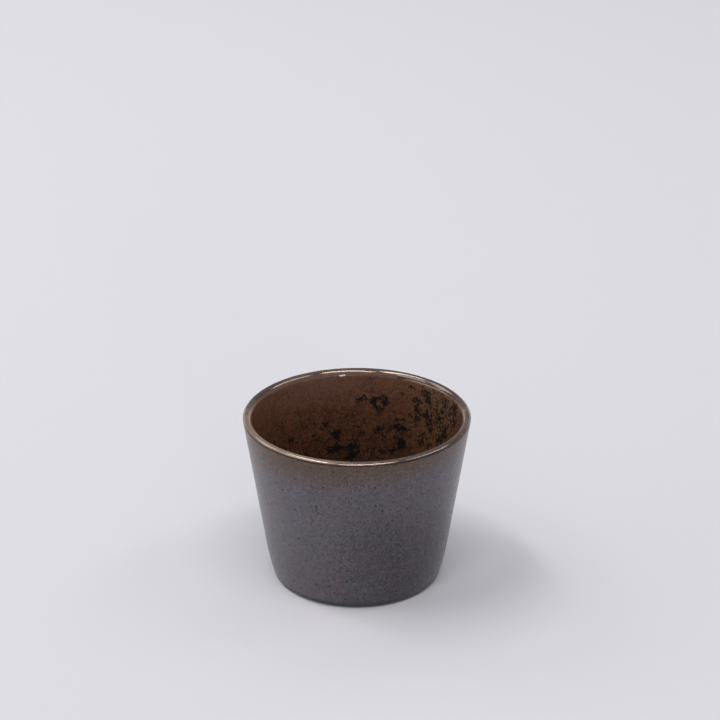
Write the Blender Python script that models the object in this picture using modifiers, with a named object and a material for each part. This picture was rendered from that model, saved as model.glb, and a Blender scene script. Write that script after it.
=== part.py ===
"""Soba choko: a small tapered stoneware cup with a bare foot ring and three glaze coats.

Metres, +Z up. The origin is on the cup's axis, in the plane that the foot ring rests on.
Every piece is a turned shape. All of them share one section: convex roundings are set on the clay and grow
outwards through the coats, and hollow roundings are set on the finished glaze and grow inwards to the clay.
"""

import math

import bpy

# Finished cup
RIM_DIAMETER = 0.080
HEIGHT = 0.0615
FLOOR_LEVEL = 0.0060
FLOOR_ROUNDING = 0.0090

# Wall: lean of the outside, and how much more the inside leans, which thickens the wall downwards
WALL_LEAN = math.radians(9.0)
WALL_SPREAD = math.radians(1.2)
LOWER_CURVE_TOP = 0.012
LOWER_CURVE_RADIUS = 0.090

# Clay edges, before glazing
LIP_CLAY = 0.0010
LIP_ROUNDING = 0.0002
BASE_ROUNDING = 0.0008

# Foot ring, and the hollow inside it
BASE_LIFT = 0.0004
FOOT_STEP = 0.0006
FOOT_WIDTH = 0.0030
FOOT_BEVEL = 0.0003
HOLLOW_DEPTH = 0.0015
HOLLOW_ROUNDING = 0.0005

# Glaze coats, and how far below the lip's rounding the inside coat meets the outside one
GLAZE = 0.0004
GLAZE_GAP = 0.0003
LIP_COAT_DROP = 0.0003

# Facets of the turned shapes
SEGMENTS = 64
LIP_FACETS = 3
CURVE_FACETS = 4
BASE_FACETS = 4
FLOOR_FACETS = 6
HOLLOW_FACETS = 3
MERGE_DISTANCE = 0.00001

# Directions in the section, as angles from +X towards +Z
OUT = 0.0
UP = math.pi / 2
DOWN = -math.pi / 2
OUTER_WALL = -WALL_LEAN
BOWL_WALL = -(WALL_LEAN + WALL_SPREAD)
INNER_WALL = BOWL_WALL + math.pi

COAT = GLAZE + GLAZE_GAP
CLAY_RIM = RIM_DIAMETER / 2 - COAT
CLAY_TOP = HEIGHT - COAT


def step_from(point, angle, distance):
    """The point that lies a distance away from another, in a direction of the section."""
    return (point[0] + distance * math.cos(angle), point[1] + distance * math.sin(angle))


def arc(centre, radius, start, end, facets):
    """Points along an arc, both ends included."""
    angles = [start + (end - start) * i / facets for i in range(facets + 1)]
    return [step_from(centre, angle, radius) for angle in angles]


def slide_to_height(point, angle, height):
    """Where a line through the point, in the given direction, reaches a height."""
    return step_from(point, angle, (height - point[1]) / math.sin(angle))


# Centres of the section's roundings
LIP_OUTER_CENTRE = (CLAY_RIM - LIP_ROUNDING, CLAY_TOP - LIP_ROUNDING)
LIP_INNER_CENTRE = (CLAY_RIM - LIP_CLAY + LIP_ROUNDING, CLAY_TOP - LIP_ROUNDING)

OUTER_WALL_END = slide_to_height(
    step_from(LIP_OUTER_CENTRE, OUTER_WALL, LIP_ROUNDING), OUTER_WALL + DOWN, LOWER_CURVE_TOP
)
CURVE_CENTRE = step_from(OUTER_WALL_END, OUTER_WALL + math.pi, LOWER_CURVE_RADIUS)

BASE_CENTRE_HEIGHT = BASE_LIFT + COAT + BASE_ROUNDING
BASE_EDGE = math.asin((BASE_CENTRE_HEIGHT - CURVE_CENTRE[1]) / (LOWER_CURVE_RADIUS - BASE_ROUNDING))
BASE_CENTRE = step_from(CURVE_CENTRE, BASE_EDGE, LOWER_CURVE_RADIUS - BASE_ROUNDING)

FLOOR_CENTRE = slide_to_height(
    step_from(LIP_INNER_CENTRE, INNER_WALL, LIP_ROUNDING + COAT + FLOOR_ROUNDING),
    BOWL_WALL + DOWN,
    FLOOR_LEVEL + FLOOR_ROUNDING,
)

FOOT_OUTER = BASE_CENTRE[0] - FOOT_STEP
FOOT_INNER = FOOT_OUTER - FOOT_WIDTH
HOLLOW_CLAY_ROUNDING = HOLLOW_ROUNDING + COAT
HOLLOW_CENTRE = (FOOT_INNER - HOLLOW_CLAY_ROUNDING, HOLLOW_DEPTH - HOLLOW_ROUNDING)


def bowl(depth):
    """Floor and inner wall, from the axis outwards, at a depth below the finished glaze."""
    middle = (0.0, FLOOR_LEVEL - depth)
    return [middle] + arc(FLOOR_CENTRE, FLOOR_ROUNDING + depth, DOWN, BOWL_WALL, FLOOR_FACETS)


def lip(depth):
    """Over the lip, from the inner wall to the outer one, at a depth below the finished glaze."""
    radius = LIP_ROUNDING + COAT - depth
    inner = arc(LIP_INNER_CENTRE, radius, INNER_WALL, UP, LIP_FACETS)
    outer = arc(LIP_OUTER_CENTRE, radius, UP, OUT, LIP_FACETS)
    return inner + outer + [step_from(LIP_OUTER_CENTRE, OUTER_WALL, radius)]


def wall_point(depth, drop):
    """A point of the outer wall, a way down from the lip's rounding, at a depth below the finished glaze."""
    top = step_from(LIP_OUTER_CENTRE, OUTER_WALL, LIP_ROUNDING + COAT - depth)
    return step_from(top, OUTER_WALL + DOWN, drop)


def lower_wall(depth):
    """The curved foot of the outer wall and the rounded base edge, at a depth below the finished glaze."""
    out = COAT - depth
    curve = arc(CURVE_CENTRE, LOWER_CURVE_RADIUS + out, OUTER_WALL, BASE_EDGE, CURVE_FACETS)
    edge = arc(BASE_CENTRE, BASE_ROUNDING + out, BASE_EDGE, DOWN, BASE_FACETS)
    return curve + edge[1:]


def hollow(depth):
    """The hollow under the floor, from the foot ring to the axis, at a depth below the finished glaze."""
    middle = (0.0, HOLLOW_DEPTH + depth)
    return arc(HOLLOW_CENTRE, HOLLOW_ROUNDING + depth, OUT, UP, HOLLOW_FACETS) + [middle]


def clay_section():
    foot_ring = [
        (FOOT_OUTER, BASE_LIFT + COAT),
        (FOOT_OUTER, FOOT_BEVEL),
        (FOOT_OUTER - FOOT_BEVEL, 0.0),
        (FOOT_INNER + FOOT_BEVEL, 0.0),
        (FOOT_INNER, FOOT_BEVEL),
    ]
    return bowl(COAT) + lip(COAT) + lower_wall(COAT) + foot_ring + hollow(COAT)


def outer_glaze_section():
    top = LIP_COAT_DROP + GLAZE_GAP
    face = [wall_point(0.0, top)] + lower_wall(0.0)
    back = [wall_point(GLAZE, top)] + lower_wall(GLAZE)
    return face + back[::-1]


def inner_glaze_section():
    face = bowl(0.0) + lip(0.0) + [wall_point(0.0, LIP_COAT_DROP)]
    back = bowl(GLAZE) + lip(GLAZE) + [wall_point(GLAZE, LIP_COAT_DROP)]
    return face + back[::-1]


def base_glaze_section():
    return hollow(GLAZE)[::-1] + hollow(0.0)


def finish_material(name, colour, roughness, metallic):
    material = bpy.data.materials.new(name)
    material.use_nodes = True
    shader = material.node_tree.nodes["Principled BSDF"]
    shader.inputs["Base Color"].default_value = (*colour, 1.0)
    shader.inputs["Roughness"].default_value = roughness
    shader.inputs["Metallic"].default_value = metallic
    return material


def turned(name, section, material, collection, parent, closed=False):
    """An object made by turning a section about Z. An open section starts and ends on the axis."""
    count = len(section)
    edges = [(i, i + 1) for i in range(count - 1)]
    if closed:
        edges.append((count - 1, 0))
    mesh = bpy.data.meshes.new(name)
    mesh.from_pydata([(r, 0.0, z) for r, z in section], edges, [])
    mesh.materials.append(material)
    piece = bpy.data.objects.new(name, mesh)
    piece.parent = parent
    collection.objects.link(piece)

    screw = piece.modifiers.new("Turn", "SCREW")
    screw.axis = "Z"
    screw.steps = SEGMENTS
    screw.render_steps = SEGMENTS
    screw.use_merge_vertices = True
    screw.merge_threshold = MERGE_DISTANCE
    screw.use_smooth_shade = True


def main():
    for thing in list(bpy.data.objects):
        bpy.data.objects.remove(thing, do_unlink=True)

    cup = bpy.data.collections.new("soba_choko_cup")
    bpy.context.scene.collection.children.link(cup)
    axis = bpy.data.objects.new("cup_axis", None)
    cup.objects.link(axis)

    clay = finish_material("bare_stoneware", colour=(0.130, 0.098, 0.072), roughness=0.85, metallic=0.0)
    satin = finish_material("satin_iron_grey", colour=(0.062, 0.054, 0.056), roughness=0.42, metallic=0.35)
    gloss = finish_material("gloss_iron_brown", colour=(0.070, 0.030, 0.015), roughness=0.12, metallic=0.0)
    under = finish_material("satin_grey_base", colour=(0.050, 0.044, 0.045), roughness=0.50, metallic=0.30)

    turned("clay_body", clay_section(), clay, cup, axis)
    turned("outer_glaze", outer_glaze_section(), satin, cup, axis, closed=True)
    turned("inner_glaze", inner_glaze_section(), gloss, cup, axis)
    turned("base_glaze", base_glaze_section(), under, cup, axis)


if __name__ == "__main__":
    main()
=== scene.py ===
"""Soba choko cup: the looks of a small glazed stoneware cup, as an add-on.

Metres, +Z up. The origin is on the cup's axis, in the plane that its foot ring rests on.
"""

import math
import random

import bpy
import numpy as np
from bpy.props import FloatProperty, FloatVectorProperty, IntProperty, PointerProperty
from mathutils import Matrix, Quaternion, Vector, noise


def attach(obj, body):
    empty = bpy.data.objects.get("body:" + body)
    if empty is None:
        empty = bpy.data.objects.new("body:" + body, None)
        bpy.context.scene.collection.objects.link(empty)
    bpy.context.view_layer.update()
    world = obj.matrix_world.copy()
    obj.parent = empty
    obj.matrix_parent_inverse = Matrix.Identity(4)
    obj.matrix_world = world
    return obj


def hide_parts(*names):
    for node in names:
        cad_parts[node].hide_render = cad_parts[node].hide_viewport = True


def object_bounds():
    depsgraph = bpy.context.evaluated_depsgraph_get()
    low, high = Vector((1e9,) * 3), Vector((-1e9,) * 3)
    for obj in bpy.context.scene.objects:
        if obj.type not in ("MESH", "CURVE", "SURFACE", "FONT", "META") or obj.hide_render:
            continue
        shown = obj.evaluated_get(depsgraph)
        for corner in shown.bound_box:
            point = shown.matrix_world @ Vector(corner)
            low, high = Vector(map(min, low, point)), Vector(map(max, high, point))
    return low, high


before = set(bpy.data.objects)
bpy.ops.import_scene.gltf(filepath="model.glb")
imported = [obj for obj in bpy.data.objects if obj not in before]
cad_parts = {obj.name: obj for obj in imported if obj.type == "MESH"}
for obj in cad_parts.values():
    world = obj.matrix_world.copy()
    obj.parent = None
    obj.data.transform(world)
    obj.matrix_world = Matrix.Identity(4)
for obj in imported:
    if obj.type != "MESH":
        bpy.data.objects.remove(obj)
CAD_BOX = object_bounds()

bl_info = {
    "name": "Soba Choko Cup",
    "version": (1, 0, 0),
    "blender": (4, 5, 0),
    "location": "View3D > Sidebar > Cup",
    "description": "Builds a glazed soba choko cup and a plain stage to show it on",
    "category": "Add Mesh",
}

BODY = "root"
MILLIMETRE = 0.001

# Directions in the cup's section, as angles from the radius towards +Z
OUT = 0.0
UP = math.pi / 2
DOWN = -math.pi / 2

# Distance between points along the section
LIP_SPACING = 0.00008
EDGE_SPACING = 0.00012
FACE_SPACING = 0.00065
BACK_SPACING = 0.00300

# Fewest steps of an arc, the distance under which two points are one, and the turn of a sharp edge
LEAST_ARC_STEPS = 4
SAME_PLACE = 0.000001
SHARP_ANGLE = math.radians(50.0)

# Air between a coat and the clay behind it, and between the two coats where they meet
COAT_AIR = 0.00002
SEAM_WIDTH = 0.00016

# How far the finished lip stays below the top of the solids' box
LIP_BELOW_BOX = 0.0003

# The lip's turns, down from its flat top on each side: radius, and how steeply the end faces up. The last
# ones run into the walls
OUTER_LIP_TURNS = ((0.0005, 58.0), (0.0028, 44.0))
INNER_LIP_TURNS = ((0.0005, 60.0), (0.0018, 52.0), (0.0050, 42.0), (0.0016, 20.0))
LAST_OUTER_TURN = 0.0004
LAST_INNER_TURN = 0.0055

# How far the hand-finished wall strays inwards, and how far the lip dips
WALL_STRAY = 0.00008
STRAY_RADIUS = 0.04
STRAY_WAVES = 1.6
STRAY_CLIMB = 2.0
LIP_DIP = 0.00006
DIP_WAVES = 1.1
DIP_PLACE = Vector((5.0, 0.0, 0.0))
DIP_START = 0.8

# Oil spots read off the photograph: pixels across and down, width and height in pixels, strength
SEEN_SPOTS = (
    (372, 392, 4, 4, 0.6),
    (379, 414, 4, 4, 0.45),
    (360, 400, 7, 6, 0.9),
    (365, 397, 5, 3, 0.6),
    (349, 392, 4, 3, 0.45),
    (340, 403, 3, 3, 0.4),
    (329, 398, 4, 4, 0.4),
    (399, 399, 3, 5, 0.45),
    (390, 388, 5, 2, 0.4),
    (380, 429, 6, 6, 0.85),
    (397, 421, 6, 4, 0.7),
    (404, 420, 4, 4, 0.6),
    (395, 427, 5, 4, 0.65),
    (401, 428, 6, 5, 0.8),
    (406, 430, 4, 5, 0.6),
    (401, 442, 6, 8, 0.85),
    (402, 447, 5, 5, 0.6),
    (393, 450, 5, 5, 0.7),
    (382, 452, 4, 4, 0.6),
    (372, 450, 4, 4, 0.6),
    (337, 433, 5, 6, 0.85),
    (336, 437, 4, 6, 0.8),
    (338, 447, 7, 5, 0.85),
    (332, 451, 9, 5, 0.85),
    (351, 447, 6, 5, 0.75),
    (358, 446, 5, 4, 0.6),
    (353, 455, 7, 5, 0.8),
    (348, 458, 6, 4, 0.7),
    (361, 434, 4, 5, 0.65),
    (326, 424, 5, 5, 0.75),
    (317, 424, 4, 4, 0.5),
    (340, 416, 4, 3, 0.5),
    (346, 420, 3, 3, 0.4),
    (354, 424, 3, 4, 0.45),
    (279, 429, 3, 6, 0.55),
    (291, 441, 5, 6, 0.7),
    (301, 438, 3, 4, 0.45),
    (313, 423, 3, 3, 0.4),
    (402, 378, 6, 2, 0.7),
    (409, 388, 6, 3, 0.6),
    (414, 387, 5, 3, 0.65),
)

# A seen spot's reach for its width, and its level for its strength
SEEN_REACH = 0.52
SEEN_STRENGTH = 0.76

# Other oil spots on the bowl's wall: azimuth in degrees, height and size in mm, strength, height over width
WALL_SPOTS = (
    (80, 50.0, 0.9, 0.66, 1.1),
    (78, 51.2, 0.9, 0.44, 0.8),
    (75, 52.0, 1.1, 0.66, 0.8),
    (72, 50.5, 1.1, 0.68, 1.0),
    (73, 49.0, 1.0, 0.6, 0.9),
    (76, 47.0, 1.0, 0.6, 0.9),
    (79, 48.0, 1.0, 0.64, 0.9),
    (53, 53.0, 1.1, 0.5, 1.3),
    (52, 50.0, 1.1, 0.52, 1.3),
    (51, 46.5, 1.1, 0.48, 1.1),
    (48, 57.0, 1.3, 0.42, 0.8),
    (44, 55.0, 1.4, 0.44, 1.0),
    (44, 49.0, 1.4, 0.4, 1.0),
    (40, 46.0, 1.2, 0.4, 1.2),
    (33, 50.5, 1.4, 0.34, 0.8),
    (31, 57.0, 1.5, 0.36, 1.0),
    (29, 43.0, 1.2, 0.4, 1.0),
    (24, 46.0, 1.5, 0.4, 1.2),
    (18, 57.5, 1.8, 0.36, 1.0),
    (45, 41.0, 1.1, 0.4, 1.0),
    (46, 38.0, 1.0, 0.4, 1.0),
    (38, 39.0, 1.0, 0.4, 1.0),
    (42, 52.0, 6.0, 0.19, 1.2),
    (24, 52.0, 6.0, 0.22, 1.2),
    (10, 54.0, 6.0, 0.2, 1.2),
    (-5, 54.0, 5.0, 0.3, 1.2),
    (34, 43.0, 5.0, 0.13, 1.0),
    (60, 34.0, 5.0, 0.12, 1.0),
    (95, 31.0, 5.0, 0.08, 0.8),
)
OIL_STRENGTH = 0.88

# Oil spots that the photograph can't show: their numbers, and ranges to draw their values from
STRAY_SPOT_SEED = 41
STRAY_SPOTS = 70
STRAY_AZIMUTHS = (170, 380)
STRAY_HEIGHTS = (16, 58)
STRAY_SIZES = (0.6, 1.3)
STRAY_STRENGTHS = (0.5, 0.85)
STRAY_SHAPES = (0.6, 1.4)
FLOOR_SPOTS = 26
FLOOR_SPOT_SIZES = (0.6, 1.4)

# Level of iron all over the bowl, and what its flecks add to that
SCATTER_LEVEL = 0.05
FLECK_LEVEL = 0.12

# Weight of the clear coat on the lip, and how bright the clay's darker grain is against its colour
LIP_COAT = 0.72
CLAY_SHADE = 0.72

# Share of flecks in the bowl where it has fewest, and how much more where it has most
FLECK_LEAST = 0.15
FLECK_GAIN = 0.80

# Side of the bowl that is darkest, in degrees from +X, and by how much
DARK_SIDE = 75.0
DARK_SIDE_DROP = 0.10

# How far down the lip's thin glaze reaches, and the outer glaze's thin stretch, which is shorter towards +X
LIP_REACH = 0.0006
THIN_REACH = 0.0170
THIN_SWAY = 0.0035

# Lift of the outer glaze's tone, and its drifts, some of them painted light on the front-left and painted
# shade low on the front-right: azimuth in degrees from +X, height and size in mm, change
TONE_LIFT = 0.065
TONE_DRIFTS_AND_SHADING = (
    (-140, 34, 20, 0.14),
    (-62, 14, 16, -0.19),
    (-84, 26, 9, -0.08),
    (-60, 32, 10, -0.05),
    (-48, 48, 12, 0.04),
    (20, 40, 18, 0.08),
    (70, 16, 18, -0.10),
    (130, 30, 16, 0.06),
)


def step_from(point, angle, distance):
    """The point that lies a distance away from another, in a direction of the section."""
    return (point[0] + distance * math.cos(angle), point[1] + distance * math.sin(angle))


def around_axis(turn, radius, height):
    """The point at a turn about the cup's axis."""
    return (radius * math.cos(turn), radius * math.sin(turn), height)


def full_turn(count):
    """Even turns all the way round."""
    return [2 * math.pi * i / count for i in range(count)]


def slide_to_height(point, angle, height):
    """Where a line through the point, in the given direction, reaches a height."""
    return step_from(point, angle, (height - point[1]) / math.sin(angle))


def arc(centre, radius, start, end, spacing):
    """Points along an arc, both ends included."""
    count = max(LEAST_ARC_STEPS, math.ceil(radius * abs(end - start) / spacing))
    return [step_from(centre, start + (end - start) * i / count, radius) for i in range(count + 1)]


def run(start, end, spacing):
    """Points along a straight stretch, both ends included."""
    count = max(1, math.ceil(math.dist(start, end) / spacing))
    return [tuple(a + (b - a) * i / count for a, b in zip(start, end)) for i in range(count + 1)]


def rolled(point, face, turns):
    """Arcs laid smoothly one after another from a point. A turn is a radius and the face it ends on."""
    arcs = []
    for radius, end in turns:
        centre = step_from(point, face, -radius)
        arcs.append((centre, radius, face, end))
        point = step_from(centre, end, radius)
        face = end
    return arcs


def joined(*stretches):
    """One line of points from several stretches, with each shared point once."""
    points = []
    for stretch in stretches:
        for point in stretch:
            if not points or math.dist(points[-1], point) > SAME_PLACE:
                points.append(point)
    return points


def bead(face_end, back_end, travel, spacing):
    """A half round that closes a coat's edge, from face to back. Travel is the face's last direction."""
    centre = tuple((a + b) / 2 for a, b in zip(face_end, back_end))
    start = math.atan2(face_end[1] - centre[1], face_end[0] - centre[0])
    turn = math.pi if math.sin(travel - start) > 0 else -math.pi
    return arc(centre, math.dist(face_end, centre), start, start + turn, spacing)


def length(name, description, default):
    return FloatProperty(
        name=name, description=description, default=default, min=0.0, precision=5, unit="LENGTH"
    )


def angle(name, description, default):
    return FloatProperty(name=name, description=description, default=math.radians(default), subtype="ANGLE")


def colour(name, description, default):
    return FloatVectorProperty(
        name=name, description=description, default=default, size=3, min=0.0, max=1.0, subtype="COLOR"
    )


class CupSizes(bpy.types.PropertyGroup):
    """Sizes of the finished cup."""

    rim_diameter: length("Rim diameter", "Across the outside of the lip", CAD_BOX[1].x - CAD_BOX[0].x)
    height: length("Height", "From the table to the top of the lip", CAD_BOX[1].z - LIP_BELOW_BOX)
    floor_level: length("Floor level", "Height of the bowl's floor", 0.0060)
    floor_rounding: length("Floor rounding", "Radius between floor and wall inside", 0.0090)
    wall_lean: angle("Wall lean", "How far the outside leans out", 9.0)
    wall_spread: angle("Wall spread", "How much more the inside leans", 1.2)
    lower_curve_top: length("Lower curve top", "Where the outer wall starts to curve in", 0.0119)
    lower_curve_radius: length("Lower curve radius", "Radius of that curve", 0.0760)
    lip_flat: length("Lip flat", "Width of the lip's flat top", 0.00085)
    base_rounding: length("Base rounding", "Radius of the outer edge at the bottom", 0.0010)
    base_lift: length("Base lift", "Gap between that edge and the table", 0.0004)
    foot_step: length("Foot step", "From the base rounding in to the foot ring", 0.0008)
    foot_width: length("Foot width", "Width of the foot ring", 0.0030)
    foot_rounding: length("Foot rounding", "Radius of the foot ring's edges", 0.0003)
    hollow_depth: length("Hollow depth", "Depth of the hollow in the foot ring", 0.0015)
    hollow_rounding: length("Hollow rounding", "Radius at the rim of that hollow", 0.0005)
    hollow_inset: length("Hollow inset", "From the foot ring in to the centre of that radius", 0.0012)
    glaze: length("Glaze", "Thickness of each glaze coat", 0.0003)
    coat_drop: length("Coat drop", "How far below the lip's turns the inner coat ends", 0.00015)
    segments: IntProperty(name="Segments", description="Facets round the cup", default=320, min=16)


class CupColours(bpy.types.PropertyGroup):
    """Colours of the clay and its glazes."""

    clay: colour("Clay", "Bare fired stoneware", (0.130, 0.098, 0.072))
    clay_grit: colour("Clay grit", "Iron specks in the clay", (0.035, 0.022, 0.016))
    satin_dark: colour("Satin dark", "Darkest grain of the outer glaze", (0.012, 0.008, 0.010))
    satin_lavender: colour("Satin lavender", "Lightest grain of the outer glaze", (0.188, 0.147, 0.176))
    satin_blue: colour("Satin blue", "Lightest grain where it drifts to blue", (0.163, 0.156, 0.178))
    satin_brown: colour("Satin brown", "Outer glaze where it is thin", (0.168, 0.089, 0.046))
    satin_speck: colour("Satin speck", "Specks in the outer glaze", (0.010, 0.007, 0.006))
    gloss_dark: colour("Gloss dark", "Darker parts of the bowl's glaze", (0.061, 0.0267, 0.0148))
    gloss_light: colour("Gloss light", "Lighter parts of the bowl's glaze", (0.178, 0.0785, 0.0445))
    gloss_ochre: colour("Gloss ochre", "Bowl's glaze on its right", (0.165, 0.084, 0.034))
    # Gloss haze is a painted reflection on the bowl's glaze near the lip
    gloss_reflection: colour("Gloss haze", "Pink haze on the bowl near the lip", (0.160, 0.092, 0.070))
    oil_black: colour("Oil spot", "Iron spots in the bowl's glaze", (0.014, 0.0120, 0.0125))
    lip_bronze: colour("Lip bronze", "Glaze on the lip", (0.098, 0.055, 0.035))
    # Lip tan also paints light on the sides of the lip that face the left and right lights
    lip_tan: colour("Lip tan", "Glaze where it is thinnest on the lip", (0.242, 0.152, 0.096))
    lip_line: colour("Lip line", "Glaze gathered at the inner coat's end", (0.030, 0.015, 0.009))
    # Foot edge is painted shade along the bottom edge, where the glaze ends
    foot_edge_shade: colour("Foot edge", "Outer glaze where it ends at the foot", (0.026, 0.024, 0.020))
    base_dark: colour("Base dark", "Darker grain of the glaze under the cup", (0.034, 0.030, 0.032))
    base_light: colour("Base light", "Lighter grain of the glaze under the cup", (0.056, 0.050, 0.052))


class CupStage(bpy.types.PropertyGroup):
    """Floor, light and camera."""

    floor_colour: colour("Floor colour", "Plain pale floor and background", (0.737, 0.744, 0.792))
    horizon_colour: colour("Horizon colour", "Pale surroundings low down", (0.660, 0.653, 0.686))
    room_colour: colour("Room colour", "Walls of the room all round", (0.245, 0.247, 0.272))
    ceiling_level: FloatProperty(
        name="Ceiling level", description="Brightness against the walls", default=0.9, min=0.0
    )
    view_distance: length("View distance", "From the cup's middle to the camera", 0.8893)
    view_elevation: angle("View elevation", "Rise of the camera over the cup's middle", 27.0)
    lens: FloatProperty(name="Lens", description="Focal length", default=125.0, unit="CAMERA")


class CupSection:
    """The cup's section, as points of radius and height, at any depth below its finished surface."""

    def __init__(self, sizes):
        self.sizes = sizes
        self.outer_face = -sizes.wall_lean
        self.bowl_side = -(sizes.wall_lean + sizes.wall_spread)
        self.inner_face = self.bowl_side + math.pi
        self.clay_depth = sizes.glaze + COAT_AIR

        outer_turns = [(radius, math.radians(rise)) for radius, rise in OUTER_LIP_TURNS]
        outer_turns.append((LAST_OUTER_TURN, self.outer_face))
        inner_turns = [(radius, math.pi - math.radians(rise)) for radius, rise in INNER_LIP_TURNS]
        inner_turns.append((LAST_INNER_TURN, self.inner_face))
        widest = rolled((0.0, sizes.height), UP, outer_turns)[-1][0][0] + LAST_OUTER_TURN
        self.lip_top = sizes.rim_diameter / 2 - widest
        self.lip_outer = rolled((self.lip_top, sizes.height), UP, outer_turns)
        self.lip_inner = rolled((self.lip_top - sizes.lip_flat, sizes.height), UP, inner_turns)

        wall_top = self.wall_point(0.0, 0.0)
        wall_foot = slide_to_height(wall_top, self.outer_face + DOWN, sizes.lower_curve_top)
        self.curve_centre = step_from(wall_foot, self.outer_face + math.pi, sizes.lower_curve_radius)
        reach = sizes.lower_curve_radius - sizes.base_rounding
        base_height = sizes.base_lift + sizes.base_rounding
        self.base_turn = math.asin((base_height - self.curve_centre[1]) / reach)
        self.base_centre = step_from(self.curve_centre, self.base_turn, reach)

        self.floor_centre = slide_to_height(
            step_from(self.lip_inner[-1][0], self.inner_face, LAST_INNER_TURN + sizes.floor_rounding),
            self.bowl_side + DOWN,
            sizes.floor_level + sizes.floor_rounding,
        )
        self.foot_outer = self.base_centre[0] - sizes.foot_step
        self.foot_inner = self.foot_outer - sizes.foot_width
        hollow_height = sizes.hollow_depth - sizes.hollow_rounding
        self.hollow_centre = (self.foot_inner - sizes.hollow_inset, hollow_height)

    def wall_point(self, depth, drop):
        """A point of the outer wall, a way down from the lip's last turn."""
        centre, radius, _, face = self.lip_outer[-1]
        top = step_from(centre, face, radius - depth)
        return step_from(top, self.outer_face + DOWN, drop)

    def bowl(self, depth, spacing):
        """Floor and inner wall, from the axis up to the lip."""
        radius = self.sizes.floor_rounding + depth
        rounding = arc(self.floor_centre, radius, DOWN, self.bowl_side, spacing)
        floor = run((0.0, self.sizes.floor_level - depth), rounding[0], spacing)
        return joined(floor, rounding, run(rounding[-1], self.bowl_top(depth), spacing))

    def bowl_top(self, depth):
        """Where the straight inner wall ends, under the lip."""
        centre, radius, _, face = self.lip_inner[-1]
        return step_from(centre, face, radius - depth)

    def lip(self, depth, spacing):
        """Over the lip, from the inner wall to the outer one."""
        inner = []
        for centre, radius, start, end in reversed(self.lip_inner):
            inner.append(arc(centre, radius - depth, end, start, spacing))
        outer = []
        for centre, radius, start, end in self.lip_outer:
            outer.append(arc(centre, radius - depth, start, end, spacing))
        return joined(*inner, run(inner[-1][-1], outer[0][0], spacing), *outer)

    def lower_wall(self, depth, spacing, edge_spacing):
        """The curved foot of the outer wall and its rounded bottom edge."""
        curve_radius = self.sizes.lower_curve_radius - depth
        curve = arc(self.curve_centre, curve_radius, self.outer_face, self.base_turn, spacing)
        edge_radius = self.sizes.base_rounding - depth
        edge = arc(self.base_centre, edge_radius, self.base_turn, DOWN, edge_spacing)
        return joined(curve, edge)

    def hollow(self, depth, spacing, edge_spacing):
        """The hollow under the floor, from the foot ring in to the axis."""
        edge = arc(self.hollow_centre, self.sizes.hollow_rounding + depth, OUT, UP, edge_spacing)
        return joined(edge, run(edge[-1], (0.0, self.sizes.hollow_depth + depth), spacing))

    def foot_ring(self):
        """The bare foot ring, from the clay's underside outside it to its inner side."""
        rounding = self.sizes.foot_rounding
        outer = (self.foot_outer - rounding, rounding)
        inner = (self.foot_inner + rounding, rounding)
        outer_edge = arc(outer, rounding, OUT, DOWN, EDGE_SPACING / 2)
        inner_edge = arc(inner, rounding, DOWN, -math.pi, EDGE_SPACING / 2)
        top = (self.foot_outer, self.sizes.base_lift + self.clay_depth)
        side = run(top, outer_edge[0], EDGE_SPACING)
        tread = run(outer_edge[-1], inner_edge[0], EDGE_SPACING * 2)
        return joined(side, outer_edge, tread, inner_edge)

    def clay(self):
        depth = self.clay_depth
        drop = self.sizes.coat_drop
        seam_top = self.wall_point(depth, drop)
        seam_foot = self.wall_point(depth, drop + SEAM_WIDTH)
        wall_end = self.lower_wall(depth, FACE_SPACING, EDGE_SPACING)
        return joined(
            self.bowl(depth, BACK_SPACING),
            self.lip(depth, EDGE_SPACING),
            [seam_top, seam_foot],
            run(seam_foot, wall_end[0], BACK_SPACING),
            wall_end,
            self.foot_ring(),
            self.hollow(depth, BACK_SPACING, EDGE_SPACING),
        )

    def outer_coat(self):
        glaze = self.sizes.glaze
        top = self.sizes.coat_drop + SEAM_WIDTH + glaze / 2
        face_top = self.wall_point(0.0, top)
        back_top = self.wall_point(glaze, top)
        lower_face = self.lower_wall(0.0, FACE_SPACING, EDGE_SPACING)
        lower_back = self.lower_wall(glaze, BACK_SPACING, EDGE_SPACING * 2)
        foot_bead = bead(lower_face[-1], lower_back[-1], math.pi, EDGE_SPACING / 2)
        top_bead = bead(back_top, face_top, self.outer_face + UP, EDGE_SPACING / 2)
        return joined(
            run(face_top, lower_face[0], FACE_SPACING),
            lower_face,
            foot_bead,
            lower_back[::-1],
            run(lower_back[0], back_top, BACK_SPACING),
            top_bead[:-1],
        )

    def inner_coat(self):
        glaze = self.sizes.glaze
        end = self.sizes.coat_drop - glaze / 2
        face_end = self.wall_point(0.0, end)
        back_end = self.wall_point(glaze, end)
        face = joined(self.bowl(0.0, FACE_SPACING), self.lip(0.0, LIP_SPACING), [face_end])
        back = joined(self.bowl(glaze, BACK_SPACING), self.lip(glaze, EDGE_SPACING), [back_end])
        end_bead = bead(face_end, back_end, self.outer_face + DOWN, EDGE_SPACING / 2)
        return joined(face, end_bead, back[::-1])

    def base_coat(self):
        glaze = self.sizes.glaze
        face = self.hollow(0.0, FACE_SPACING, EDGE_SPACING)
        back = self.hollow(glaze, BACK_SPACING, EDGE_SPACING)
        return joined(back[::-1], bead(back[0], face[0], DOWN, EDGE_SPACING / 2), face)


def add_object(name, data):
    """A new object in the scene."""
    made = bpy.data.objects.new(name, data)
    bpy.context.scene.collection.objects.link(made)
    return made


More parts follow.
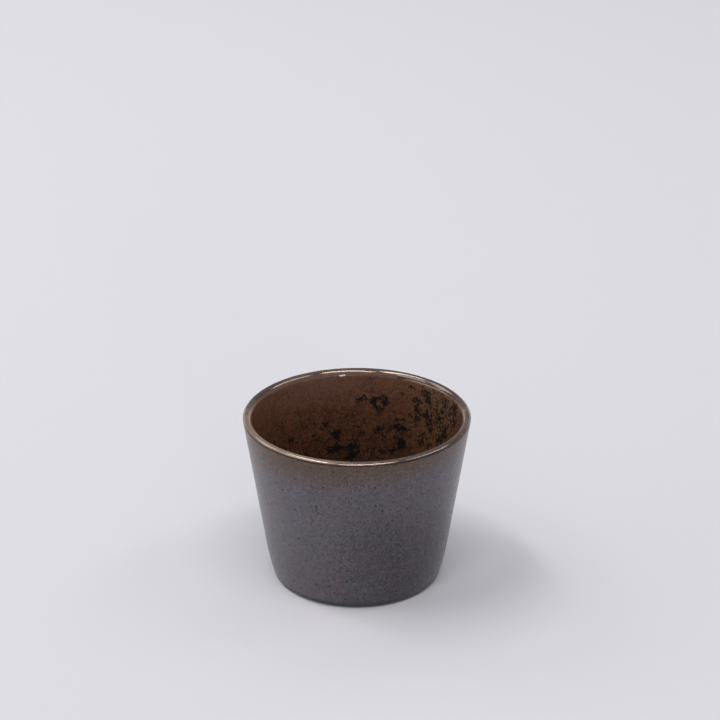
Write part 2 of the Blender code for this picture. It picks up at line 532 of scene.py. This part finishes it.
def strayed(radius, turn, height, top):
    """Where a point of the section ends up on a cup that isn't quite even. It only moves in and down."""
    rise = height / top
    around = Vector((math.cos(turn), math.sin(turn), 0.0))
    wander = 0.5 + 0.5 * noise.noise(around * STRAY_WAVES + Vector((0.0, 0.0, rise * STRAY_CLIMB)))
    dip = 0.5 + 0.5 * noise.noise(around * DIP_WAVES + DIP_PLACE)
    lip_share = max(0.0, (rise - DIP_START) / (1.0 - DIP_START))
    narrowing = WALL_STRAY / STRAY_RADIUS * wander * rise
    return radius * (1.0 - narrowing), height - LIP_DIP * dip * lip_share ** 2


def turned(name, section, sizes, closed=False):
    """A piece turned from a section about the cup's axis. An open section starts and ends on the axis."""
    count = sizes.segments
    vertices = []
    rings = []
    for radius, height in section:
        if radius < SAME_PLACE:
            rings.append([len(vertices)] * count)
            vertices.append((0.0, 0.0, height))
            continue
        rings.append(list(range(len(vertices), len(vertices) + count)))
        for turn in full_turn(count):
            vertices.append(around_axis(turn, *strayed(radius, turn, height, sizes.height)))

    travelled = [0.0]
    ring_line = section + section[:1] if closed else section
    for before, after in zip(ring_line, ring_line[1:]):
        travelled.append(travelled[-1] + math.dist(before, after))

    faces = []
    corners = []
    for low in range(len(ring_line) - 1):
        high = low + 1
        first, second = rings[low], rings[high % len(rings)]
        start, end = travelled[low] / travelled[-1], travelled[high] / travelled[-1]
        for i in range(count):
            j = (i + 1) % count
            left, right = i / count, (i + 1) / count
            if first[i] == first[j]:
                faces.append((first[i], second[i], second[j]))
                corners += [((left + right) / 2, start), (left, end), (right, end)]
            elif second[i] == second[j]:
                faces.append((first[i], second[i], first[j]))
                corners += [(left, start), ((left + right) / 2, end), (right, start)]
            else:
                faces.append((first[i], second[i], second[j], first[j]))
                corners += [(left, start), (left, end), (right, end), (right, start)]

    mesh = bpy.data.meshes.new(name)
    mesh.from_pydata(vertices, [], faces)
    layer = mesh.uv_layers.new(name="OFBake")
    layer.data.foreach_set("uv", np.array(corners, dtype=np.float32).ravel())
    mesh.shade_smooth()
    mesh.set_sharp_from_angle(angle=SHARP_ANGLE)
    return add_object(name, mesh)


def points_of(piece):
    """A piece's points as an array of rows."""
    return np.array([vertex.co[:] for vertex in piece.data.vertices])


def paint(piece, name, values):
    """Keeps one number for each point of a piece, for its material to read."""
    attribute = piece.data.attributes.new(name=name, type="FLOAT", domain="POINT")
    attribute.data.foreach_set("value", np.asarray(values, dtype=np.float32))


def ramp(values, low, high, start=0.0, end=1.0):
    """A smooth change from start, where the values are low, to end, where they are high."""
    share = np.clip((values - low) / (high - low), 0.0, 1.0)
    return start + (end - start) * share * share * (3.0 - 2.0 * share)


def place(piece, node, material):
    """Dresses a piece and sets it in the frame in place of a node."""
    piece.data.materials.append(material)
    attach(piece, BODY)
    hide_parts(node)


# Sockets of a colour mix node: its factor, its two colours and its result
MIX_FACTOR = 0
MIX_FIRST = 6
MIX_SECOND = 7
MIX_RESULT = 2


class Sheet:
    """Adds nodes to a material or a node group and wires what they are given."""

    def __init__(self, tree):
        self.tree = tree

    def feed(self, socket, value):
        if isinstance(value, bpy.types.NodeSocket):
            self.tree.links.new(value, socket)
        else:
            socket.default_value = value

    def node(self, kind, inputs=None, **settings):
        made = self.tree.nodes.new(kind)
        for name, value in settings.items():
            setattr(made, name, value)
        for name, value in (inputs or {}).items():
            self.feed(made.inputs[name], value)
        return made

    def math(self, operation, first, second, clamp=False):
        inputs = {0: first, 1: second}
        return self.node("ShaderNodeMath", inputs, operation=operation, use_clamp=clamp).outputs[0]

    def weighed(self, first, second, shares=(1.0, 1.0)):
        """The sum of two numbers, each times its share."""
        first_part = self.math("MULTIPLY", first, shares[0])
        return self.math("ADD", first_part, self.math("MULTIPLY", second, shares[1]))

    def smooth(self, value, low=0.0, high=1.0, to_low=0.0, to_high=1.0):
        inputs = {"Value": value, "From Min": low, "From Max": high, "To Min": to_low, "To Max": to_high}
        return self.node("ShaderNodeMapRange", inputs, interpolation_type="SMOOTHSTEP").outputs[0]

    def about_half(self, value, spread):
        """A smooth step from 0 to 1 that spreads to each side of a half."""
        low = self.math("SUBTRACT", 0.5, spread)
        high = self.math("ADD", 0.5, spread)
        return self.smooth(value, low, high)

    def mix(self, factor, first, second):
        """Blends two colours."""
        made = self.node("ShaderNodeMix", {MIX_FACTOR: factor}, data_type="RGBA")
        for index, value in ((MIX_FIRST, first), (MIX_SECOND, second)):
            if not isinstance(value, bpy.types.NodeSocket):
                value = (*value, 1.0)
            self.feed(made.inputs[index], value)
        return made.outputs[MIX_RESULT]

    def scaled(self, where, unit):
        """A place, measured in another unit."""
        inputs = {0: where, "Scale": self.math("DIVIDE", 1.0, unit)}
        return self.node("ShaderNodeVectorMath", inputs, operation="SCALE").outputs[0]

    def cloud(self, where, detail, roughness=0.5, scale=1.0):
        inputs = {"Vector": where, "Scale": scale, "Detail": detail, "Roughness": roughness}
        return self.node("ShaderNodeTexNoise", inputs).outputs["Fac"]

    def number(self, name):
        """A number that was painted on the piece's points."""
        return self.node("ShaderNodeAttribute", attribute_name=name).outputs["Fac"]

    def position(self):
        """The place on the piece, in millimetres."""
        inputs = {0: self.node("ShaderNodeTexCoord").outputs["Object"], "Scale": 1.0 / MILLIMETRE}
        return self.node("ShaderNodeVectorMath", inputs, operation="SCALE").outputs[0]

    def shade(self, name, value):
        """Sets or wires an input of the material's shader."""
        self.feed(self.tree.nodes["Principled BSDF"].inputs[name], value)

    def relief(self, height, depth):
        """Wires a height from 0 to 1 into the shader's normal. Depth is in metres."""
        bump = self.node("ShaderNodeBump", {"Height": height, "Strength": 1.0, "Distance": depth})
        self.shade("Normal", bump.outputs["Normal"])

    def group(self, tree, **inputs):
        """Places a node group. Its inputs are named by the keywords, with a capital."""
        made = self.node("ShaderNodeGroup", node_tree=tree)
        for name, value in inputs.items():
            self.feed(made.inputs[name.capitalize()], value)
        return made.outputs


def shared_group(name, inputs, output, fill):
    """A node group that is made once. Fill takes its sheet and inputs and returns what it puts out."""
    if name in bpy.data.node_groups:
        return bpy.data.node_groups[name]
    tree = bpy.data.node_groups.new(name, "ShaderNodeTree")
    tree.interface.new_socket("Position", in_out="INPUT", socket_type="NodeSocketVector")
    for label, default in inputs.items():
        socket = tree.interface.new_socket(label, in_out="INPUT", socket_type="NodeSocketFloat")
        socket.default_value = default
    tree.interface.new_socket(output, in_out="OUTPUT", socket_type="NodeSocketFloat")
    sheet = Sheet(tree)
    given = sheet.node("NodeGroupInput").outputs
    made = sheet.node("NodeGroupOutput").inputs
    sheet.feed(made[output], fill(sheet, given))
    return tree


MOTTLE_INPUTS = {"Size": 1.0, "Detail": 2.0, "Spread": 0.22}
RAGGED_INPUTS = {"Level": 0.0, "Grain": 1.0, "Reach": 0.5, "Softness": 0.1}
SPECK_INPUTS = {"Spacing": 3.0, "Size": 0.3, "Share": 0.5}

# Share of a speck's size that is solid, inside its soft edge
SPECK_CORE = 0.5


def fill_mottle(sheet, given):
    fine_place = sheet.scaled(given["Position"], given["Size"])
    cloud = sheet.cloud(fine_place, detail=given["Detail"], roughness=0.6)
    return sheet.about_half(cloud, given["Spread"])


def fill_ragged(sheet, given):
    fine_place = sheet.scaled(given["Position"], given["Grain"])
    cloud = sheet.cloud(fine_place, detail=3.0, roughness=0.65)
    sway = sheet.math("MULTIPLY", sheet.math("SUBTRACT", cloud, 0.5), given["Reach"])
    return sheet.about_half(sheet.math("ADD", given["Level"], sway), given["Softness"])


def fill_specks(sheet, given):
    inputs = {"Vector": sheet.scaled(given["Position"], given["Spacing"]), "Scale": 1.0}
    cells = sheet.node("ShaderNodeTexVoronoi", inputs, feature="F1").outputs
    chance = sheet.node("ShaderNodeSeparateColor", {"Color": cells["Color"]}).outputs
    distance = sheet.math("MULTIPLY", cells["Distance"], given["Spacing"])
    growth = sheet.smooth(chance["Green"], to_low=0.5, to_high=1.3)
    size = sheet.math("MULTIPLY", given["Size"], growth)
    edge = sheet.cloud(given["Position"], detail=2.0, scale=2.5)
    wavy = sheet.math("MULTIPLY", sheet.math("SUBTRACT", edge, 0.5), given["Size"])
    core = sheet.math("MULTIPLY", size, SPECK_CORE)
    spot = sheet.smooth(sheet.math("ADD", distance, wavy), low=core, high=size, to_low=1.0, to_high=0.0)
    held = sheet.math("LESS_THAN", chance["Red"], given["Share"])
    return sheet.math("MULTIPLY", spot, held)


def mottle(sheet, **values):
    """Cloudy variation of a glaze or clay: 0 to 1, about a half on average."""
    tree = shared_group("Glaze mottle", MOTTLE_INPUTS, "Value", fill_mottle)
    return sheet.group(tree, position=sheet.where, **values)["Value"]


def ragged(sheet, painted, **values):
    """A mask with a ragged edge, from a level that was painted on the piece."""
    tree = shared_group("Ragged edge", RAGGED_INPUTS, "Mask", fill_ragged)
    return sheet.group(tree, position=sheet.where, level=sheet.number(painted), **values)["Mask"]


def specks(sheet, **values):
    """Scattered specks of unlike sizes. Share is how many of the places hold one."""
    tree = shared_group("Scattered specks", SPECK_INPUTS, "Mask", fill_specks)
    return sheet.group(tree, position=sheet.where, **values)["Mask"]


def new_material(name, ior):
    """A material and its sheet, with the place on the piece at hand."""
    material = bpy.data.materials.new(name)
    material.use_nodes = True
    sheet = Sheet(material.node_tree)
    sheet.shade("IOR", ior)
    sheet.where = sheet.position()
    return material, sheet


def satin_grey(colours):
    """The outer glaze: satin iron grey with grain, specks, hue drifts, painted light and shade, brown under
    the lip.
    """
    material, sheet = new_material("satin_grey_glaze", ior=1.55)
    grain = mottle(sheet, size=1.0, detail=3.0, spread=0.15)
    stipple = mottle(sheet, size=0.36, detail=1.0, spread=0.15)
    drift = mottle(sheet, size=9.0, detail=2.0, spread=0.18)
    coarse = specks(sheet, spacing=2.0, size=0.45, share=0.40)
    pepper = specks(sheet, spacing=1.2, size=0.40, share=0.40)
    dark = sheet.math("MAXIMUM", coarse, sheet.math("MULTIPLY", pepper, sheet.number("pepper")))
    thin = ragged(sheet, "thin", grain=0.8, reach=2.0, softness=0.30)

    texture = sheet.weighed(grain, stipple, shares=(0.22, 0.42))
    # The painted tone holds painted light on the front-left and painted shade low on the front-right
    tone = sheet.math("ADD", texture, sheet.number("tone"), clamp=True)
    light = sheet.mix(drift, colours.satin_lavender, colours.satin_blue)
    light = sheet.mix(thin, light, colours.satin_brown)
    coat = sheet.mix(tone, colours.satin_dark, light)
    # Painted shade along the foot edge
    coat = sheet.mix(sheet.number("foot_edge_shade"), coat, colours.foot_edge_shade)
    sheet.shade("Base Color", sheet.mix(dark, coat, colours.satin_speck))
    sheet.shade("Roughness", sheet.smooth(texture, high=0.64, to_low=0.34, to_high=0.24))
    surface = sheet.weighed(texture, dark, shares=(0.4, -1.0))
    sheet.relief(surface, depth=0.00003)
    return material


def gloss_brown(colours):
    """The bowl's glaze: glossy iron brown, black oil spots, painted shade and reflection; bronze and tan
    over the lip.
    """
    material, sheet = new_material("gloss_brown_glaze", ior=1.50)
    fine = mottle(sheet, size=0.8, detail=3.0, spread=0.17)
    cloud = mottle(sheet, size=4.5, detail=2.0)
    dots = specks(sheet, spacing=1.3, size=0.48, share=0.5)
    blots = specks(sheet, spacing=2.3, size=0.90, share=0.40)
    oil = ragged(sheet, "oil", grain=1.0, reach=2.2, softness=0.20)
    lip = ragged(sheet, "lip", grain=1.2, reach=0.50, softness=0.25)
    thin_and_lit = ragged(sheet, "thin_and_lit", grain=2.0, reach=1.0, softness=0.30)

    tone = sheet.weighed(fine, cloud, shares=(0.8, 0.30))
    # The painted rise makes the bowl darker deeper down, as painted shade, and darker towards one side
    tone = sheet.math("ADD", tone, sheet.number("rise"), clamp=True)
    brown = sheet.mix(tone, colours.gloss_dark, colours.gloss_light)
    brown = sheet.mix(sheet.number("ochre"), brown, colours.gloss_ochre)
    # Painted reflection near the lip
    brown = sheet.mix(sheet.number("painted_reflection"), brown, colours.gloss_reflection)
    flecks = sheet.math("MULTIPLY", sheet.math("MAXIMUM", dots, blots), sheet.number("fleck"))
    spots = sheet.math("MAXIMUM", oil, flecks)
    spotted = sheet.mix(spots, brown, colours.oil_black)
    # Tan where the lip's glaze is thin, partly painted light on its sides towards the left and right lights
    thinned_and_lit = sheet.mix(thin_and_lit, colours.lip_bronze, colours.lip_tan)
    coat = sheet.mix(lip, spotted, thinned_and_lit)
    coat_end = sheet.number("coat_end")
    sheet.shade("Base Color", sheet.mix(coat_end, coat, colours.lip_line))

    bare_lip = sheet.math("MULTIPLY", lip, sheet.math("SUBTRACT", 1.0, coat_end))
    sheet.shade("Coat Weight", sheet.math("MULTIPLY", bare_lip, LIP_COAT))
    sheet.shade("Coat Roughness", 0.10)
    sheet.shade("Coat IOR", 1.8)
    lustre = sheet.smooth(thin_and_lit, to_low=0.6, to_high=0.05)
    sheet.shade("Metallic", sheet.math("MULTIPLY", bare_lip, lustre))
    gloss = sheet.smooth(spots, to_low=0.09, to_high=0.15)
    sheet.shade("Roughness", sheet.weighed(gloss, lip, shares=(1.0, 0.08)))
    sheet.relief(sheet.weighed(cloud, spots, shares=(1.0, -0.15)), depth=0.00005)
    return material


def base_grey(colours):
    """The glaze in the hollow under the cup."""
    material, sheet = new_material("base_grey_glaze", ior=1.7)
    grain = mottle(sheet, size=0.6, detail=2.5)
    cloud = mottle(sheet, size=7.0, detail=2.0)
    pits = specks(sheet, spacing=2.8, size=0.36, share=0.5)
    tone = sheet.weighed(grain, cloud, shares=(0.6, 0.4))
    coat = sheet.mix(tone, colours.base_dark, colours.base_light)
    sheet.shade("Base Color", sheet.mix(pits, coat, colours.satin_speck))
    sheet.shade("Roughness", sheet.smooth(tone, to_low=0.44, to_high=0.56))
    surface = sheet.weighed(grain, pits, shares=(0.3, -1.0))
    sheet.relief(surface, depth=0.00004)
    return material


def bare_stoneware(colours):
    """Fired clay without glaze: sandy, with iron specks."""
    material, sheet = new_material("bare_clay", ior=1.45)
    sand = mottle(sheet, size=0.35, detail=3.0)
    cloud = mottle(sheet, size=6.0, detail=2.0)
    grit = specks(sheet, spacing=1.6, size=0.22, share=0.4)
    tone = sheet.weighed(sand, cloud, shares=(0.6, 0.4))
    clay = sheet.mix(tone, [CLAY_SHADE * channel for channel in colours.clay], colours.clay)
    sheet.shade("Base Color", sheet.mix(grit, clay, colours.clay_grit))
    sheet.shade("Roughness", sheet.smooth(sand, to_low=0.78, to_high=0.92))
    sheet.relief(sheet.weighed(sand, grit), depth=0.00006)
    return material


def azimuths(points):
    """Each point's azimuth in degrees from +X."""
    return np.degrees(np.arctan2(points[:, 1], points[:, 0]))


def near(azimuth, middle, spread, strength=1.0):
    """The strength of what spreads round the middle of a side, in degrees."""
    return strength * np.exp(-0.5 * ((azimuth - middle) / spread) ** 2)


def facing(azimuth, side, focus, strength=1.0):
    """The strength of what fades all the way round from a side, in degrees."""
    return strength * np.exp(focus * (np.cos(np.radians(azimuth - side)) - 1.0))


def blot(points, centre, size, tall):
    """How near each point is to the middle of a soft spot, from 1 there down to 0."""
    away = (points - np.array(centre)) / size
    away[:, 2] /= tall
    return np.exp(-0.5 * (away ** 2).sum(axis=1))


def fleck_levels(points):
    """How thickly the bowl is flecked at each point: most in its lower half and on its right."""
    low = 1.0 - ramp(points[:, 2], low=0.034, high=0.054)
    right = near(azimuths(points), middle=35.0, spread=28.0)
    return FLECK_LEAST + FLECK_GAIN * np.maximum(low, right)


def on_wall(wall_top, face, azimuth, height):
    """The point of a wall at an azimuth in degrees and a height in mm."""
    return around_axis(math.radians(azimuth), *slide_to_height(wall_top, face + DOWN, height * MILLIMETRE))


def seen_on_bowl(across, down, section, stage):
    """The point of the bowl's far wall that shows at a pixel of the photograph."""
    placed = camera_placement(stage, section.sizes)
    eye = placed.translation
    pixel = Vector((across - IMAGE_SIZE / 2, IMAGE_SIZE / 2 - down, -focal_pixels(stage)))
    sight = placed.to_3x3() @ pixel.normalized()
    wall_radius, wall_height = section.bowl_top(0.0)
    widening = -math.tan(section.bowl_side)
    eye_radius = wall_radius + widening * (eye.z - wall_height)
    growth = widening * sight.z
    square = sight.xy.length_squared - growth ** 2
    linear = eye.xy.dot(sight.xy) - eye_radius * growth
    constant = eye.xy.length_squared - eye_radius ** 2
    far = (math.sqrt(linear ** 2 - square * constant) - linear) / square
    return eye + sight * far


def oil_levels(points, section, stage):
    """How strongly iron gathered at each point of the bowl, summed from its spots."""
    spots = []
    for across, down, wide, tall, strength in SEEN_SPOTS:
        centre = seen_on_bowl(across, down, section, stage)
        beside = seen_on_bowl(across + 1, down, section, stage)
        below = seen_on_bowl(across, down + 1, section, stage)
        width = wide * (beside - centre).xy.length
        height = tall * (centre - below).z
        spots.append((centre, SEEN_REACH * width, SEEN_STRENGTH * strength, height / width))
    draw = random.Random(STRAY_SPOT_SEED)
    ranges = (STRAY_AZIMUTHS, STRAY_HEIGHTS, STRAY_SIZES, STRAY_STRENGTHS, STRAY_SHAPES)
    rows = list(WALL_SPOTS)
    for _ in range(STRAY_SPOTS):
        rows.append([draw.uniform(*limits) for limits in ranges])
    for azimuth, height, size, strength, tall in rows:
        centre = on_wall(section.bowl_top(0.0), section.bowl_side, azimuth, height)
        spots.append((centre, size * MILLIMETRE, OIL_STRENGTH * strength, tall))
    for _ in range(FLOOR_SPOTS):
        turn = draw.uniform(0.0, 2 * math.pi)
        radius = section.floor_centre[0] * math.sqrt(draw.random())
        centre = around_axis(turn, radius, section.sizes.floor_level)
        size = draw.uniform(*FLOOR_SPOT_SIZES) * MILLIMETRE
        spots.append((centre, size, OIL_STRENGTH * draw.uniform(*STRAY_STRENGTHS), 1.0))
    levels = SCATTER_LEVEL + FLECK_LEVEL * fleck_levels(points)
    for centre, size, strength, tall in spots:
        levels += strength * blot(points, centre, size, tall)
    return levels


def tone_and_shading_levels(points, section):
    """What is added at each point to the tone of the outer glaze's grain, painted light and shade among it.
    """
    levels = np.full(len(points), TONE_LIFT)
    for azimuth, height, size, change in TONE_DRIFTS_AND_SHADING:
        centre = on_wall(section.wall_point(0.0, 0.0), section.outer_face, azimuth, height)
        levels += change * blot(points, centre, size * MILLIMETRE, 1.0)
    return levels


class SOBACUP_OT_clay_body(bpy.types.Operator):
    """Turn the stoneware body with its bare foot ring"""

    bl_idname = "sobacup.clay_body"
    bl_label = "Clay body"

    def execute(self, context):
        section = CupSection(context.scene.cup_sizes)
        piece = turned("cup_clay", section.clay(), section.sizes)
        place(piece, "clay_body", bare_stoneware(context.scene.cup_colours))
        return {"FINISHED"}


class SOBACUP_OT_outer_coat(bpy.types.Operator):
    """Coat the outside with satin grey glaze"""

    bl_idname = "sobacup.outer_coat"
    bl_label = "Outer glaze"

    def execute(self, context):
        section = CupSection(context.scene.cup_sizes)
        piece = turned("cup_outer_glaze", section.outer_coat(), section.sizes, closed=True)
        points = points_of(piece)
        height = points[:, 2]
        below = section.wall_point(0.0, section.sizes.coat_drop)[1] - height
        thin_end = THIN_REACH - THIN_SWAY * np.cos(np.radians(azimuths(points)))
        paint(piece, "thin", 1.0 - ramp(below, low=-0.004, high=thin_end))
        paint(piece, "tone", tone_and_shading_levels(points, section))
        paint(piece, "pepper", ramp(height, low=0.020, high=0.050, start=0.20, end=0.65))
        # Painted shade along the bottom edge of the outer glaze
        paint(piece, "foot_edge_shade", 1.0 - ramp(height, low=0.0012, high=0.0026))
        place(piece, "outer_glaze", satin_grey(context.scene.cup_colours))
        return {"FINISHED"}


class SOBACUP_OT_inner_coat(bpy.types.Operator):
    """Coat the bowl and the lip with glossy brown glaze"""

    bl_idname = "sobacup.inner_coat"
    bl_label = "Inner glaze and lip"

    def execute(self, context):
        section = CupSection(context.scene.cup_sizes)
        piece = turned("cup_inner_glaze", section.inner_coat(), section.sizes)
        points = points_of(piece)
        azimuth = azimuths(points)
        height = points[:, 2]
        below = section.sizes.height - height
        outside = np.hypot(points[:, 0], points[:, 1]) > section.lip_top
        paint(piece, "oil", oil_levels(points, section, context.scene.cup_stage))
        paint(piece, "fleck", fleck_levels(points))
        # Painted shade: the bowl's glaze darker deeper down; it is also darker towards one side
        rise = ramp(height, low=0.025, high=0.060, start=-0.25, end=0.19)
        paint(piece, "rise", rise - DARK_SIDE_DROP * np.cos(np.radians(azimuth - DARK_SIDE)))
        paint(piece, "ochre", near(azimuth, middle=28.0, spread=18.0, strength=0.55))
        # Painted reflection near the lip, at the back and on the right
        painted_reflection = near(azimuth, middle=114.0, spread=26.0) + near(azimuth, middle=25.0, spread=16.0)
        paint(piece, "painted_reflection", painted_reflection * ramp(height, low=0.046, high=0.058, end=0.5))
        reach = LIP_REACH + near(azimuth, middle=47.0, spread=14.0, strength=0.0010)
        paint(piece, "lip", 1.0 - ramp(below / reach, low=0.5, high=1.5))
        # Tan on the lip towards the front-left and the right: partly thin glaze, partly painted light
        thin_and_lit = facing(azimuth, side=223.0, focus=2.2)
        paint(piece, "thin_and_lit", thin_and_lit + facing(azimuth, side=0.0, focus=4.0, strength=0.40))
        paint(piece, "coat_end", outside * ramp(below, low=0.00046, high=0.00066))
        place(piece, "inner_glaze", gloss_brown(context.scene.cup_colours))
        return {"FINISHED"}


class SOBACUP_OT_base_coat(bpy.types.Operator):
    """Coat the hollow inside the foot ring"""

    bl_idname = "sobacup.base_coat"
    bl_label = "Base glaze"

    def execute(self, context):
        section = CupSection(context.scene.cup_sizes)
        piece = turned("cup_base_glaze", section.base_coat(), section.sizes)
        place(piece, "base_glaze", base_grey(context.scene.cup_colours))
        return {"FINISHED"}


# The photograph's size and the cup's middle in it, in pixels, and the camera's sensor in mm
IMAGE_SIZE = 720
CUP_MIDDLE_PIXEL = (356.89, 491.50)
SENSOR = 36.0

# The floor: its size, where it fades away, and the gap that keeps it clear of the cup
FLOOR_RADIUS = 2.4
FLOOR_FACETS = 96
FLOOR_FADE_START = 1.1
FLOOR_FADE_END = 2.0
FLOOR_GAP = 0.00002

# The room by elevation: pale horizon, plain walls, ceiling
HORIZON_UP_TO = math.radians(8.0)
WALLS_FROM = math.radians(22.0)
WALLS_UP_TO = math.radians(48.0)
CEILING_FROM = math.radians(75.0)

LAMP_WHITE = (1.0, 0.99, 0.98)

# Soft lights: azimuth from +X, elevation and roll in degrees, distance, width and height in metres, share
# of the floor's light, tint
SOFT_LIGHTS = {
    "key_strip": (176, 66.5, 28, 3.0, 1.60, 0.40, 0.216, (1.0, 0.97, 0.935)),
    "front_strip": (-72, 71.5, 0, 8.0, 4.9, 1.07, 0.218, (1.0, 0.93, 0.87)),
    "front_light": (-91, 38, 0, 8.0, 9.6, 6.4, 0.070, (0.98, 0.99, 1.0)),
    "front_window": (-74.5, 9, 0, 3.0, 0.35, 0.65, 0.016, (0.86, 0.93, 1.0)),
    "left_light": (190, 53, 23, 3.0, 1.44, 0.60, 0.05, LAMP_WHITE),
    "low_left_light": (184, 14, 0, 3.0, 3.0, 1.2, 0.03, LAMP_WHITE),
    "back_left_light": (145, 43, 0, 1.5, 0.6, 0.45, 0.055, LAMP_WHITE),
    "right_light": (11, 50, -41, 3.0, 1.75, 0.36, 0.055, LAMP_WHITE),
    "back_light": (90, 58, 0, 1.6, 1.07, 0.64, 0.072, LAMP_WHITE),
}


def make_floor(stage):
    """A round pale floor that fades into the background at its edge."""
    rim = [around_axis(turn, FLOOR_RADIUS, -FLOOR_GAP) for turn in full_turn(FLOOR_FACETS)]
    mesh = bpy.data.meshes.new("floor")
    mesh.from_pydata(rim, [], [list(range(FLOOR_FACETS))])
    floor = add_object("floor", mesh)

    material = bpy.data.materials.new("pale_floor")
    material.use_nodes = True
    sheet = Sheet(material.node_tree)
    nodes = material.node_tree.nodes
    nodes.remove(nodes["Principled BSDF"])
    place_on_floor = sheet.node("ShaderNodeTexCoord").outputs["Object"]
    distance = sheet.node("ShaderNodeVectorMath", {0: place_on_floor}, operation="LENGTH").outputs["Value"]
    fade = sheet.smooth(distance, FLOOR_FADE_START, FLOOR_FADE_END)
    paper = sheet.node("ShaderNodeBsdfDiffuse", {"Color": (*stage.floor_colour, 1.0)})
    clear = sheet.node("ShaderNodeBsdfTransparent")
    mixed = sheet.node("ShaderNodeMixShader", {0: fade, 1: paper.outputs[0], 2: clear.outputs[0]})
    sheet.feed(nodes["Material Output"].inputs["Surface"], mixed.outputs[0])
    mesh.materials.append(material)


def make_world(stage):
    """A plain room that is pale low down and a little darker overhead."""
    world = bpy.data.worlds.new("pale_room")
    bpy.context.scene.world = world
    world.use_nodes = True
    sheet = Sheet(world.node_tree)
    direction = sheet.node("ShaderNodeTexCoord").outputs["Generated"]
    rise = sheet.node("ShaderNodeSeparateXYZ", {0: direction}).outputs["Z"]
    overhead = sheet.smooth(rise, math.sin(WALLS_UP_TO), math.sin(CEILING_FROM))
    ceiling = [stage.ceiling_level * channel for channel in stage.room_colour]
    above = sheet.smooth(rise, math.sin(HORIZON_UP_TO), math.sin(WALLS_FROM))
    walls = sheet.mix(above, stage.horizon_colour, stage.room_colour)
    sheet.feed(world.node_tree.nodes["Background"].inputs["Color"], sheet.mix(overhead, walls, ceiling))


def make_soft_light(name, azimuth, elevation, roll, distance, wide, tall, share, tint):
    """A rectangular soft light that faces the cup and gives the floor a share of its light."""
    lamp = bpy.data.lights.new(name, "AREA")
    lamp.shape = "RECTANGLE"
    lamp.size = wide
    lamp.size_y = tall
    turn, rise = math.radians(azimuth), math.radians(elevation)
    lamp.energy = share * (math.pi * distance) ** 2 / math.sin(rise)
    lamp.color = tint
    outward = Vector(around_axis(turn, math.cos(rise), math.sin(rise)))
    box = add_object(name, lamp)
    box.location = outward * distance
    upright = (-outward).to_track_quat("-Z", "Y")
    box.rotation_euler = (upright @ Quaternion((0.0, 0.0, 1.0), math.radians(roll))).to_euler()


def focal_pixels(stage):
    """The camera's focal length, in pixels of the photograph."""
    return stage.lens / SENSOR * IMAGE_SIZE


def camera_placement(stage, sizes):
    """Where the camera stands and looks, to show the cup's middle at its pixel of the photograph."""
    middle = Vector((0.0, 0.0, sizes.height / 2))
    rise = stage.view_elevation
    away = Vector((0.0, -math.cos(rise), math.sin(rise))) * stage.view_distance
    tilt = math.atan((CUP_MIDDLE_PIXEL[1] - IMAGE_SIZE / 2) / focal_pixels(stage))
    swing = math.atan((IMAGE_SIZE / 2 - CUP_MIDDLE_PIXEL[0]) / focal_pixels(stage))
    aimed = (-away).to_track_quat("-Z", "Y").to_matrix().to_4x4()
    offset = Matrix.Rotation(-swing, 4, "Y") @ Matrix.Rotation(tilt, 4, "X")
    return Matrix.Translation(middle + away) @ aimed @ offset


def make_camera(stage, sizes):
    """A camera that shows the cup as the photograph does."""
    data = bpy.data.cameras.new("camera")
    data.lens = stage.lens
    data.sensor_width = SENSOR
    camera = add_object("camera", data)
    camera.matrix_world = camera_placement(stage, sizes)
    bpy.context.scene.camera = camera


class SOBACUP_OT_stage(bpy.types.Operator):
    """Set up the floor, the lights and the camera"""

    bl_idname = "sobacup.stage"
    bl_label = "Stage"

    def execute(self, context):
        scene = context.scene
        scene.view_settings.view_transform = "Standard"
        make_floor(scene.cup_stage)
        make_world(scene.cup_stage)
        for name, values in SOFT_LIGHTS.items():
            make_soft_light(name, *values)
        make_camera(scene.cup_stage, scene.cup_sizes)
        return {"FINISHED"}


class SOBACUP_PT_build(bpy.types.Panel):
    """Lists the cup's pieces and its stage"""

    bl_idname = "SOBACUP_PT_build"
    bl_label = "Soba choko cup"
    bl_space_type = "VIEW_3D"
    bl_region_type = "UI"
    bl_category = "Cup"

    def draw(self, context):
        for operator in OPERATORS:
            self.layout.operator(operator.bl_idname)
        for group_name, group in SETTINGS.items():
            box = self.layout.box()
            for name in group.__annotations__:
                box.prop(getattr(context.scene, group_name), name)


OPERATORS = (
    SOBACUP_OT_clay_body,
    SOBACUP_OT_outer_coat,
    SOBACUP_OT_inner_coat,
    SOBACUP_OT_base_coat,
    SOBACUP_OT_stage,
)
SETTINGS = {"cup_sizes": CupSizes, "cup_colours": CupColours, "cup_stage": CupStage}
CLASSES = (*SETTINGS.values(), *OPERATORS, SOBACUP_PT_build)


def register():
    for each in CLASSES:
        bpy.utils.register_class(each)
    for name, group in SETTINGS.items():
        setattr(bpy.types.Scene, name, PointerProperty(type=group))


def unregister():
    for name in SETTINGS:
        delattr(bpy.types.Scene, name)
    for each in reversed(CLASSES):
        bpy.utils.unregister_class(each)


def main():
    register()
    bpy.ops.sobacup.clay_body()
    bpy.ops.sobacup.outer_coat()
    bpy.ops.sobacup.inner_coat()
    bpy.ops.sobacup.base_coat()
    bpy.ops.sobacup.stage()


if __name__ == "__main__":
    main()
